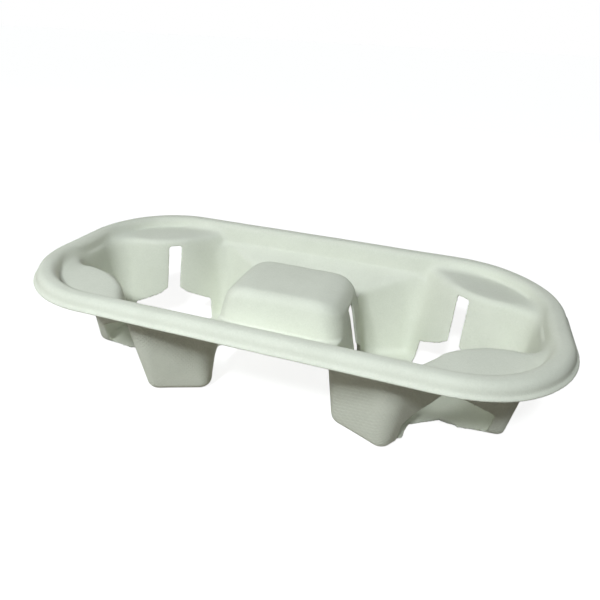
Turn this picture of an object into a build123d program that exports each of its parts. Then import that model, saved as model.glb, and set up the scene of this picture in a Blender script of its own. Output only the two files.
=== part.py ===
"""A two-cup carrier pressed from one sheet of moulded pulp.

The sheet is the space between two mould faces of the same form, one wall apart. Each mould face is a block
with a basin in it, and the basin holds a slab with two wells and a valley on either side of the hump between
them. The origin is under the middle of the carrier, on the plane that its feet stand on, and X runs along it.
"""
from build123d import *
import os
from math import cos, radians, tan

# Overall size in millimetres, and the sheet
carrier_length = 210.0
carrier_width = 105.6
carrier_height = 47.0
corner_radius = 41.7
wall = 1.0
draft = 10.0

# Rim: a hollow bead with a skirt outside it and a thin lip along the skirt's lower edge
bead_width = 8.5
bead_round = 3.2
skirt_height = 5.0
lip_width = 1.0
skirt_clearance = 1.4

# Deck: the level of the corner shelves, below the bead's crown
deck_drop = 4.5
shelf_edge_round = 3.0

# Hump between the wells, with its top above the deck, and the valleys between it and the long sides
hump_length = 48.5
hump_width = 34.0
hump_rise = 2.0
hump_corner_round = 8.0
hump_edge_round = 5.0
hump_bulge = 3.2
valley_overrun = 2.0
valley_depth = 12.0
valley_floor_width = 9.7
valley_rise = 30.0
valley_bend_round = 8.0

# Wells: the corners of half their outline at the mouth and at the feet, as places from the well's centre,
# with the inner corner at the feet as a place from the hump's side
centre_to_end = 53.0
mouth_inner_corner = 30.0
mouth_tip = (-2.0, 45.0)
mouth_shoulder = (15.7, 19.6)
mouth_end_half_width = 14.9
mouth_end_step = 0.8
mouth_round = 10.0
foot_inset = 8.75
foot_inner_corner = (1.35, 25.0)
foot_tip = (-4.6, 34.2)
foot_shoulder = (10.0, 12.5)
foot_end = (38.0, 10.2)
foot_corner_round = 3.5
shoulder_round = 33.0
foot_round = 3.0

# Openings: a slit up each shoulder and up the hump's side that widens to a low arch over the floor,
# and a notch in the floor; each starts at a distance from the well's centre or from the hump's side
shoulder_angle = 56.5
shoulder_opening_start = 15.5
hump_opening_start = 12.25
opening_length = 15.5
slit_width = 5.6
slit_top = 39.3
slit_lean = 2.0
arch_top = 19.5
arch_knee = 16.6
arch_knee_reach = 3.6
arch_spring = 10.8
arch_reach_inner = 16.0
arch_reach_end = 20.5
notch_width = 13.0
notch_flare = 4.5

slope = tan(radians(draft))
lean = cos(radians(draft))
crown = carrier_height
skirt_edge = crown - skirt_height
deck = crown - deck_drop
hump_top = deck + hump_rise
hump_side = hump_length / 2
well_centre = carrier_length / 2 - centre_to_end
valley_length = 2 * (well_centre + mouth_tip[0] + valley_overrun)
below = 5.0
tolerance = 0.05


def rim_outline(margin):
    """The carrier's rounded rectangle, drawn in from its outer edge by a margin."""
    length = carrier_length - 2 * margin
    width = carrier_width - 2 * margin
    return RectangleRounded(length, width, corner_radius - margin)


def sunk(outline, top, floor):
    """A hollow that narrows by the draft from an outline at its top to its floor."""
    return extrude(Pos(0, 0, top) * outline, floor - top, taper=draft)


def both_ends(shape):
    return shape + mirror(shape, Plane.YZ)


def both_sides(shape):
    return shape + mirror(shape, Plane.XZ)


def well_outline(face, corners, corner_round):
    """The right-hand well at one level: two inner pockets and an end pocket, with shoulders between them."""
    inner_corner, tip, shoulder, end = corners
    near_side = [(x, -y) for x, y in corners]
    far_side = [(x, y) for x, y in reversed(corners)]
    curve = ThreePointArc(far_side[-1], (face, 0), near_side[0])
    outline = make_face(curve + Polyline(*near_side, *far_side))
    corner_round = min(corner_round, min(edge.length for edge in outline.edges()) / 2)
    for corner in (inner_corner, tip, end):
        outline = fillet(vertices_at(outline, corner), corner_round)
    return fillet(vertices_at(outline, shoulder), shoulder_round)


def vertices_at(outline, corner):
    """The outline's vertex at a corner, and the one opposite it."""
    x, y = corner
    return [v for v in outline.vertices() if abs(v.X - x) < tolerance and abs(abs(v.Y) - y) < tolerance]


def from_centre(corner):
    return (well_centre + corner[0], corner[1])


def risen(mouth_size, foot_size):
    """A size of the wells at the level of the hump's top, in line with the same size at mouth and feet."""
    return mouth_size + (mouth_size - foot_size) * hump_rise / (deck - wall)


def well(inset):
    end = carrier_length / 2 - bead_width - deck_drop * slope - mouth_end_step
    mouth_corners = [
        (hump_side - hump_bulge, mouth_inner_corner),
        from_centre(mouth_tip),
        from_centre(mouth_shoulder),
        (end, mouth_end_half_width),
    ]
    foot_corners = [
        (hump_side + foot_inner_corner[0], foot_inner_corner[1]),
        from_centre(foot_tip),
        from_centre(foot_shoulder),
        from_centre(foot_end),
    ]
    foot_face = hump_side + foot_inset
    top_corners = [tuple(map(risen, *pair)) for pair in zip(mouth_corners, foot_corners)]
    top = well_outline(risen(hump_side, foot_face), top_corners, risen(mouth_round, foot_corner_round))
    foot = well_outline(foot_face, foot_corners, foot_corner_round)
    if inset:
        top = offset(top, inset / lean)
        foot = offset(foot, inset / lean - inset * slope)
    hollow = loft([Pos(0, 0, wall - inset) * foot, Pos(0, 0, hump_top) * top], ruled=True)
    floor = hollow.faces().sort_by(Axis.Z)[0]
    return fillet(floor.edges(), foot_round + inset)


def valley(inset):
    """The hollow on the far side of the hump: a flat floor that climbs to the long wall."""
    rise = radians(valley_rise)
    depth = hump_rise + valley_depth
    inner = hump_width / 2 - inset / lean
    floor_start = inner + (depth + inset) * slope
    floor_end = hump_width / 2 + depth * slope + valley_floor_width + inset * tan(rise / 2)
    outer = floor_end + (depth + inset) / tan(rise)
    floor = hump_top - depth - inset
    corners = [(inner, hump_top), (floor_start, floor), (floor_end, floor), (outer, hump_top)]
    profile = make_face(Polyline(*corners, close=True))
    bend = [v for v in profile.vertices() if abs(v.X - floor_end) < tolerance]
    profile = fillet(bend, valley_bend_round + inset)
    half_length = valley_length / 2 + inset
    across = Plane((-half_length, 0, 0), x_dir=(0, 1, 0), z_dir=(1, 0, 0))
    return extrude(across * profile, 2 * half_length)


def slab(inset):
    """Everything inside the basin: shelves, hump, wells and valleys, with their upper edges rounded."""
    top = deck - inset
    body = Pos(0, 0, -below) * extrude(Rectangle(2 * carrier_length, 2 * carrier_width), top + below)
    hump_block = Rectangle(2 * hump_side + foot_inset, hump_width + valley_floor_width)
    body += Pos(0, 0, -below) * extrude(hump_block, top + hump_rise + below)
    body -= both_ends(well(inset))
    body -= both_sides(valley(inset))

    spread = (hump_rise + valley_depth) * slope + tolerance
    posts = [e for e in body.edges() if on_hump(e, spread) and rises(e, valley_depth / 2) and off_middle(e)]
    body = fillet(posts, hump_corner_round - inset)
    hump_edges = [e for e in body.edges() if level_at(e, top + hump_rise) and on_hump(e, tolerance)]
    body = fillet(hump_edges, hump_edge_round - inset)
    shelf = [e for e in body.edges() if level_at(e, top) and inside_rim(e) and not on_hump(e, tolerance)]
    return fillet(shelf, shelf_edge_round - inset)


def on_hump(edge, spread):
    middle = edge @ 0.5
    return abs(middle.X) < hump_side + spread and abs(middle.Y) < hump_width / 2 + spread


def off_middle(edge):
    return abs((edge @ 0.5).Y) > hump_width / 4


def rises(edge, height):
    return abs((edge @ 0).Z - (edge @ 1).Z) > height


def inside_rim(edge):
    middle = edge @ 0.5
    return abs(middle.X) < carrier_length / 2 and abs(middle.Y) < carrier_width / 2 - lip_width


def level_at(edge, height):
    return all(abs((edge @ place).Z - height) < tolerance for place in (0, 0.5, 1))


def mould(inset):
    """The solid under the sheet: its upper face is the sheet's upper face, moved in by the inset."""
    grow = inset / lean
    cap = extrude(Pos(0, 0, skirt_edge) * rim_outline(lip_width + grow), skirt_height - inset, taper=draft)
    basin_margin = bead_width - grow
    basin = sunk(rim_outline(basin_margin + inset * slope), crown - inset, -below)
    cap -= basin
    cap = fillet(cap.faces().sort_by(Axis.Z)[-1].edges(), bead_round - inset)
    core_margin = lip_width + wall + skirt_clearance
    core = Pos(0, 0, -below) * extrude(rim_outline(core_margin), skirt_edge + below)
    return cap + (core - basin) + (slab(inset) & basin)


def lip():
    outer = extrude(Pos(0, 0, skirt_edge) * rim_outline(0), wall)
    return outer - extrude(Pos(0, 0, skirt_edge) * rim_outline(lip_width + wall / 2), wall)


def arch_side(reach, slant):
    """Half the outline of a slit and its arch, top down; the slant moves the lower end of the slit."""
    half_slit = slit_width / 2
    foot = half_slit + slant
    knee = foot + arch_knee_reach
    return [(half_slit, slit_top), (foot, arch_top), (knee, arch_knee), (reach, arch_spring), (reach, wall)]


def opening(reach, other_reach, slant):
    """What one slit, its arch and its notch take out along X; the reaches are to the arch's feet."""
    side = arch_side(reach, -slant)
    other_side = [(-y, z) for y, z in reversed(arch_side(other_reach, slant))]
    arch = make_face(Polyline(*side, *other_side, close=True))
    half_notch = notch_width / 2
    wide_notch = half_notch + notch_flare
    edge = [(0, half_notch), (notch_flare, wide_notch), (opening_length, wide_notch)]
    notch = make_face(Polyline(*edge, *[(x, -y) for x, y in reversed(edge)], close=True))
    cut = extrude(Plane.YZ * arch, opening_length)
    return cut + Pos(0, 0, -below) * extrude(notch, below + 2 * wall)


hump_place = Pos(hump_side + hump_opening_start, 0, 0) * Rot(0, 0, 180)
shoulder_place = Pos(well_centre, 0, 0) * Rot(0, 0, shoulder_angle) * Pos(shoulder_opening_start, 0, 0)
carrier = mould(0) - mould(wall) + lip()
carrier -= both_ends(hump_place * opening(arch_reach_inner, arch_reach_inner, 0))
carrier -= both_ends(both_sides(shoulder_place * opening(arch_reach_inner, arch_reach_end, slit_lean)))

os.makedirs("parts", exist_ok=True)
export_step(carrier, "parts/cup_carrier.step", precision_mode=PrecisionMode.GREATEST)
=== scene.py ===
"""Looks of a two-cup carrier of moulded pulp: its skin, material, floor, lamps and camera."""
from math import radians
import bpy
import numpy as np
from mathutils import Matrix, Vector, noise


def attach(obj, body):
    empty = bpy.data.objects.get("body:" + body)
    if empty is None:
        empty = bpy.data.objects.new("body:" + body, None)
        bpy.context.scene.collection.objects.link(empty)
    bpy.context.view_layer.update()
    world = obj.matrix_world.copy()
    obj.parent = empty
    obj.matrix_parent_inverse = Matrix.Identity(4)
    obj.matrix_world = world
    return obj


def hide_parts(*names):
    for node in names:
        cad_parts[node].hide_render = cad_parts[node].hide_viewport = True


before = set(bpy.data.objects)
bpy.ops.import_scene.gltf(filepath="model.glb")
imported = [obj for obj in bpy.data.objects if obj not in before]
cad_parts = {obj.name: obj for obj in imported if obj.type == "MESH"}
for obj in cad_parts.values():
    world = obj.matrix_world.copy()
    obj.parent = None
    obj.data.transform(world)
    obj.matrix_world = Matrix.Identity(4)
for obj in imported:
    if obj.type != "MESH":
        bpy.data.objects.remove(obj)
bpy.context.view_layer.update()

# Skin: a step in metres, counts of triangles and of smoothing passes, and the seed of its noise
SKIN_STEP = 0.00045
SKIN_TRIANGLES = 185000
SKIN_SOFTENING = 4
BLEND_PASSES = 200
NOISE_SEED = 3

# Waves of the dried sheet: the length and the depth of each
RIPPLES = ((0.024, 0.00013), (0.007, 0.00005))

# Torn fringe of the openings, up to a height, where the sheet turns over more sharply than a start
FRAY_SIZE = 0.0015
FRAY_DEPTH = 0.0008
FRAY_TOP = 0.0395
FRAY_START = 0.2
FRAY_SPAN = 0.4

# Places where the sheet runs smoothly from one form into the next: a centre, and how far the blend reaches
SHELF_TIP = ((0.0600, 0.0390, 0.0405), (0.0160, 0.0110, 0.0060))
POCKET_LIP = ((0.0390, 0.0320, 0.0345), (0.0180, 0.0110, 0.0110))
END_CORNER = ((0.0925, 0.0150, 0.0390), (0.0090, 0.0120, 0.0090))

# Hump: its top falls away from a flat middle to its ends, by a drop that fades out down its sides
HUMP_SPAN = (0.028, 0.0195)
HUMP_FLAT = 0.012
HUMP_END = 0.024
HUMP_DROP = 0.0028
HUMP_FADE = (0.034, 0.043)

# Pulp: sizes in metres
PULP_DARK = (0.815, 0.840, 0.745, 1)
PULP_LIGHT = (0.880, 0.905, 0.810, 1)
CLOUD_SIZE = 0.018
FIBRE_SIZE = 0.0016
GRAIN_SIZE = 0.0005
BUMP_DEPTH = 0.0002
WIRE_PITCH = 0.0014
PRINT_PATCH = 0.02

# Floor: sizes in metres, its white as the camera sees it, and the colour that it throws back up
FLOOR_REACH = 40.0
FLOOR_DROP = 0.0003
FLOOR_LIT = (0.5, 0.5, 0.5, 1)
FLOOR_GLOW = 0.84
FLOOR_BOUNCE = (0.28, 0.255, 0.215, 1)

# Light: the colour of the direct light, and that of the light that fills in
KEY_COLOUR = (0.940, 1.0, 1.0)
FILL_COLOUR = (1.0, 0.990, 0.945)


def apply_modifiers(piece):
    """Replaces a piece's mesh by what its modifiers make of it."""
    shown = piece.evaluated_get(bpy.context.evaluated_depsgraph_get())
    mesh = bpy.data.meshes.new_from_object(shown)
    piece.modifiers.clear()
    piece.data = mesh


def read_vectors(items, name):
    values = np.empty(3 * len(items))
    items.foreach_get(name, values)
    return values.reshape(-1, 3)


def move_points(piece, points):
    piece.data.vertices.foreach_set("co", points.ravel())
    piece.data.update()


def make_skin(node):
    """The node's form with its creases and cut edges softened, as wet pulp leaves them."""
    skin = bpy.data.objects.new("carrier_skin", node.data.copy())
    bpy.context.scene.collection.objects.link(skin)
    skin.data.materials.clear()
    remesh = skin.modifiers.new("remesh", "REMESH")
    remesh.mode = "VOXEL"
    remesh.voxel_size = SKIN_STEP
    soften = skin.modifiers.new("soften", "SMOOTH")
    soften.factor = 0.5
    soften.iterations = SKIN_SOFTENING
    apply_modifiers(skin)
    blend_spots(skin)
    round_hump(skin)
    ripple(skin)
    thin = skin.modifiers.new("thin", "DECIMATE")
    skin.data.calc_loop_triangles()
    thin.ratio = SKIN_TRIANGLES / len(skin.data.loop_triangles)
    apply_modifiers(skin)
    fray(skin)
    for face in skin.data.polygons:
        face.use_smooth = True
    return skin


def blend_spots(skin):
    """Smooths the sheet further at the shelves' tips, the pockets' lips and the end pockets' corners."""
    points = read_vectors(skin.data.vertices, "co")
    weight = np.zeros(len(points))
    for centre, reach in (SHELF_TIP, POCKET_LIP, END_CORNER):
        away = (np.abs(points) - centre) / np.array(reach)
        weight = np.maximum(weight, 1 - (away ** 2).sum(axis=1))
    group = skin.vertex_groups.new(name="blend")
    for index in np.flatnonzero(weight > 0):
        group.add([int(index)], min(1.0, 2 * weight[index]), "REPLACE")
    blend = skin.modifiers.new("blend", "SMOOTH")
    blend.vertex_group = "blend"
    blend.factor = 0.5
    blend.iterations = BLEND_PASSES
    apply_modifiers(skin)
    skin.vertex_groups.clear()


def round_hump(skin):
    """Rounds the hump's top off towards the wells."""
    points = read_vectors(skin.data.vertices, "co")
    along, across, height = np.abs(points).T
    end = np.clip((along - HUMP_FLAT) / (HUMP_END - HUMP_FLAT), 0, 1)
    level = np.interp(height, HUMP_FADE, (0, 1))
    on_hump = (along < HUMP_SPAN[0]) & (across < HUMP_SPAN[1])
    points[:, 2] -= HUMP_DROP * end ** 2 * level * on_hump
    move_points(skin, points)


def ripple(skin):
    """Gives the sheet the slight waves of dried pulp."""
    points = read_vectors(skin.data.vertices, "co")
    for index, point in enumerate(points):
        place = Vector(point)
        for size, depth in RIPPLES:
            points[index] += depth * noise.noise_vector(place / size)
    move_points(skin, points)


def fray(skin):
    """Gives the openings' cut edges a torn fringe."""
    points = read_vectors(skin.data.vertices, "co")
    torn = cut_edges(skin.data) * (points[:, 2] < FRAY_TOP)
    for index in np.flatnonzero(torn):
        shift = np.array(noise.noise_vector(Vector(points[index]) / FRAY_SIZE))
        points[index] += FRAY_DEPTH * torn[index] * shift
    move_points(skin, points)


def cut_edges(mesh):
    """How sharply the sheet turns over at each vertex, from 0 on its faces to 1 on its cut edges."""
    normals = read_vectors(mesh.vertices, "normal")
    ends = np.empty(2 * len(mesh.edges), dtype=int)
    mesh.edges.foreach_get("vertices", ends)
    first, second = ends.reshape(-1, 2).T
    turn = 1 - (normals[first] * normals[second]).sum(axis=1)
    sharp = np.zeros(len(normals))
    np.maximum.at(sharp, first, turn)
    np.maximum.at(sharp, second, turn)
    return np.clip((sharp - FRAY_START) / FRAY_SPAN, 0, 1)


class Nodes:
    """A material's node tree with short calls for adding and joining nodes."""

    def __init__(self, name):
        self.material = bpy.data.materials.new(name)
        self.material.use_nodes = True
        self.tree = self.material.node_tree
        self.tree.nodes.clear()

    def add(self, kind, inputs=None, **settings):
        node = self.tree.nodes.new(kind)
        for key, value in settings.items():
            setattr(node, key, value)
        for key, value in (inputs or {}).items():
            if isinstance(value, bpy.types.NodeSocket):
                self.tree.links.new(value, node.inputs[key])
            else:
                node.inputs[key].default_value = value
        return node

    def math(self, operation, *values):
        node = self.add("ShaderNodeMath", dict(enumerate(values)), operation=operation)
        return node.outputs[0]

    def noise(self, place, size, detail, distortion=0.0):
        """Noise with patches of about a size in metres."""
        inputs = {"Vector": place, "Scale": 1 / size, "Detail": detail, "Distortion": distortion}
        return self.add("ShaderNodeTexNoise", inputs).outputs["Fac"]


def wire_marks(n, place):
    """The print of the forming mesh: two sets of diagonal ridges, worn away in patches."""
    flipped = n.add("ShaderNodeMapping", {"Vector": place, "Scale": (1, 1, -1)}).outputs["Vector"]
    ridges = []
    for vector in (place, flipped):
        wave = n.add("ShaderNodeTexWave", {
            "Vector": vector,
            "Scale": 2 * np.pi / (10 * np.sqrt(2) * WIRE_PITCH),
            "Distortion": 1.5,
            "Detail": 1.0,
            "Detail Scale": 0.2,
        }, bands_direction="DIAGONAL")
        ridges.append(wave.outputs["Fac"])
    patches = n.noise(place, PRINT_PATCH, 2.0)
    print_left = n.add("ShaderNodeMapRange", {"Value": patches, "From Min": 0.35, "From Max": 0.65})
    return n.math("MULTIPLY", n.math("MAXIMUM", *ridges), print_left.outputs["Result"])


def pulp_material():
    """Pale pressed pulp: cloudy, with fibres, a fine grain, and the forming mesh's print on its underside."""
    n = Nodes("pulp")
    coordinates = n.add("ShaderNodeTexCoord")
    place = coordinates.outputs["Object"]
    clouds = n.noise(place, CLOUD_SIZE, 4.0)
    fibres = n.noise(place, FIBRE_SIZE, 6.0, 2.5)
    tone = n.math("MULTIPLY_ADD", fibres, 0.5, n.math("MULTIPLY", clouds, 0.5))
    colour = n.add("ShaderNodeValToRGB", {"Fac": tone})
    colour.color_ramp.elements[0].position = 0.36
    colour.color_ramp.elements[0].color = PULP_DARK
    colour.color_ramp.elements[1].position = 0.62
    colour.color_ramp.elements[1].color = PULP_LIGHT

    facing = n.add("ShaderNodeSeparateXYZ", {"Vector": coordinates.outputs["Normal"]}).outputs["Z"]
    under = n.add("ShaderNodeMapRange", {"Value": facing, "From Min": 0.02, "From Max": -0.06})
    marks = n.math("MULTIPLY", wire_marks(n, place), under.outputs["Result"])
    grain = n.noise(place, GRAIN_SIZE, 3.0)
    height = n.math("MULTIPLY_ADD", fibres, 0.6, grain)
    height = n.math("MULTIPLY_ADD", marks, 3.0, height)
    bump = n.add("ShaderNodeBump", {"Height": height, "Strength": 0.35, "Distance": BUMP_DEPTH})
    shader = n.add("ShaderNodeBsdfPrincipled", {
        "Base Color": colour.outputs["Color"],
        "Roughness": 0.88,
        "Specular IOR Level": 0.22,
        "Normal": bump.outputs["Normal"],
    })
    n.add("ShaderNodeOutputMaterial", {"Surface": shader.outputs["BSDF"]})
    return n.material


def floor_material():
    """A white floor as the camera sees it, with the carrier's shadow, which throws little light back up."""
    n = Nodes("floor")
    path = n.add("ShaderNodeLightPath")
    seen = n.math("MAXIMUM", path.outputs["Is Camera Ray"], path.outputs["Is Glossy Ray"])
    seen = n.math("MAXIMUM", seen, path.outputs["Is Transmission Ray"])
    lit = n.add("ShaderNodeBsdfDiffuse", {"Color": FLOOR_LIT})
    glow = n.add("ShaderNodeEmission", {"Color": (1, 1, 1, 1), "Strength": FLOOR_GLOW})
    shown = n.add("ShaderNodeAddShader", {0: lit.outputs[0], 1: glow.outputs[0]})
    dull = n.add("ShaderNodeBsdfDiffuse", {"Color": FLOOR_BOUNCE})
    mix = n.add("ShaderNodeMixShader", {0: seen, 1: dull.outputs[0], 2: shown.outputs[0]})
    n.add("ShaderNodeOutputMaterial", {"Surface": mix.outputs[0]})
    return n.material


def add_floor():
    mesh = bpy.data.meshes.new("floor")
    reach = FLOOR_REACH
    corners = [(-reach, -reach, 0), (reach, -reach, 0), (reach, reach, 0), (-reach, reach, 0)]
    mesh.from_pydata(corners, [], [(0, 1, 2, 3)])
    floor = bpy.data.objects.new("floor", mesh)
    floor.location.z = -FLOOR_DROP
    mesh.materials.append(floor_material())
    bpy.context.scene.collection.objects.link(floor)


def add_lamp(lamp, towards):
    """Adds a lamp that shines on the carrier from a direction, or from a place for an area lamp."""
    light = bpy.data.objects.new(lamp.name, lamp)
    light.location = towards
    light.rotation_euler = Vector(towards).to_track_quat("Z", "Y").to_euler()
    bpy.context.scene.collection.objects.link(light)


def add_sun(name, towards, spread, strength, colour):
    lamp = bpy.data.lights.new(name, "SUN")
    lamp.color = colour
    lamp.angle = radians(spread)
    lamp.energy = strength
    add_lamp(lamp, towards)


def add_softbox(name, place, size, power, colour):
    lamp = bpy.data.lights.new(name, "AREA")
    lamp.color = colour
    lamp.shape = "DISK"
    lamp.size = size
    lamp.energy = power
    add_lamp(lamp, place)


def add_world():
    world = bpy.data.worlds.new("world")
    bpy.context.scene.world = world
    world.use_nodes = True
    tree = world.node_tree
    tree.nodes.clear()
    path = tree.nodes.new("ShaderNodeLightPath")
    soft = tree.nodes.new("ShaderNodeBackground")
    soft.inputs["Color"].default_value = (1.0, 0.97, 0.92, 1)
    soft.inputs["Strength"].default_value = 0.02
    white = tree.nodes.new("ShaderNodeBackground")
    white.inputs["Strength"].default_value = 1.0
    white.inputs["Color"].default_value = (1, 1, 1, 1)
    mix = tree.nodes.new("ShaderNodeMixShader")
    out = tree.nodes.new("ShaderNodeOutputWorld")
    tree.links.new(path.outputs["Is Camera Ray"], mix.inputs[0])
    tree.links.new(soft.outputs[0], mix.inputs[1])
    tree.links.new(white.outputs[0], mix.inputs[2])
    tree.links.new(mix.outputs[0], out.inputs["Surface"])


def add_camera():
    """The photograph's view: from above the near long side, turned a little to the right-hand end."""
    right = (0.946319, 0.319838, 0.046737)
    up = (-0.177911, 0.394669, 0.901435)
    back = (0.269868, -0.861359, 0.430385)
    place = (0.056914, -0.181658, 0.132767)
    lens = bpy.data.cameras.new("camera")
    lens.sensor_width = 36.0
    lens.lens = 30.976
    lens.shift_x = 0.01294
    lens.shift_y = -0.02497
    lens.clip_start = 0.005
    camera = bpy.data.objects.new("camera", lens)
    turn = Matrix((right, up, back)).transposed().to_4x4()
    camera.matrix_world = Matrix.Translation(place) @ turn
    bpy.context.scene.collection.objects.link(camera)
    bpy.context.scene.camera = camera


bpy.context.scene.view_settings.view_transform = "Standard"
noise.seed_set(NOISE_SEED)
skin = make_skin(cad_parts["cup_carrier"])
skin.data.materials.append(pulp_material())
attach(skin, "root")
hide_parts("cup_carrier")
add_floor()
add_world()

# Lamps: a direction with a spread in degrees, or a place with a size in metres, then the strength
add_sun("key_sun", (-0.04, -0.70, 0.70), 6, 1.26, KEY_COLOUR)
add_sun("top_sun", (-0.3, 0, 1), 40, 0.05, KEY_COLOUR)
add_softbox("key", (-0.03, -0.22, 0.25), 0.04, 0.33, KEY_COLOUR)
add_softbox("front", (0.10, -0.80, 0.22), 0.6, 0.15, FILL_COLOUR)
add_softbox("left", (-0.80, -0.25, 0.40), 0.6, 1.3, FILL_COLOUR)
add_softbox("right", (0.80, 0.40, 0.10), 0.6, 0.10, FILL_COLOUR)
add_softbox("back", (0.10, 0.80, 0.12), 0.6, 2.2, FILL_COLOUR)

add_camera()
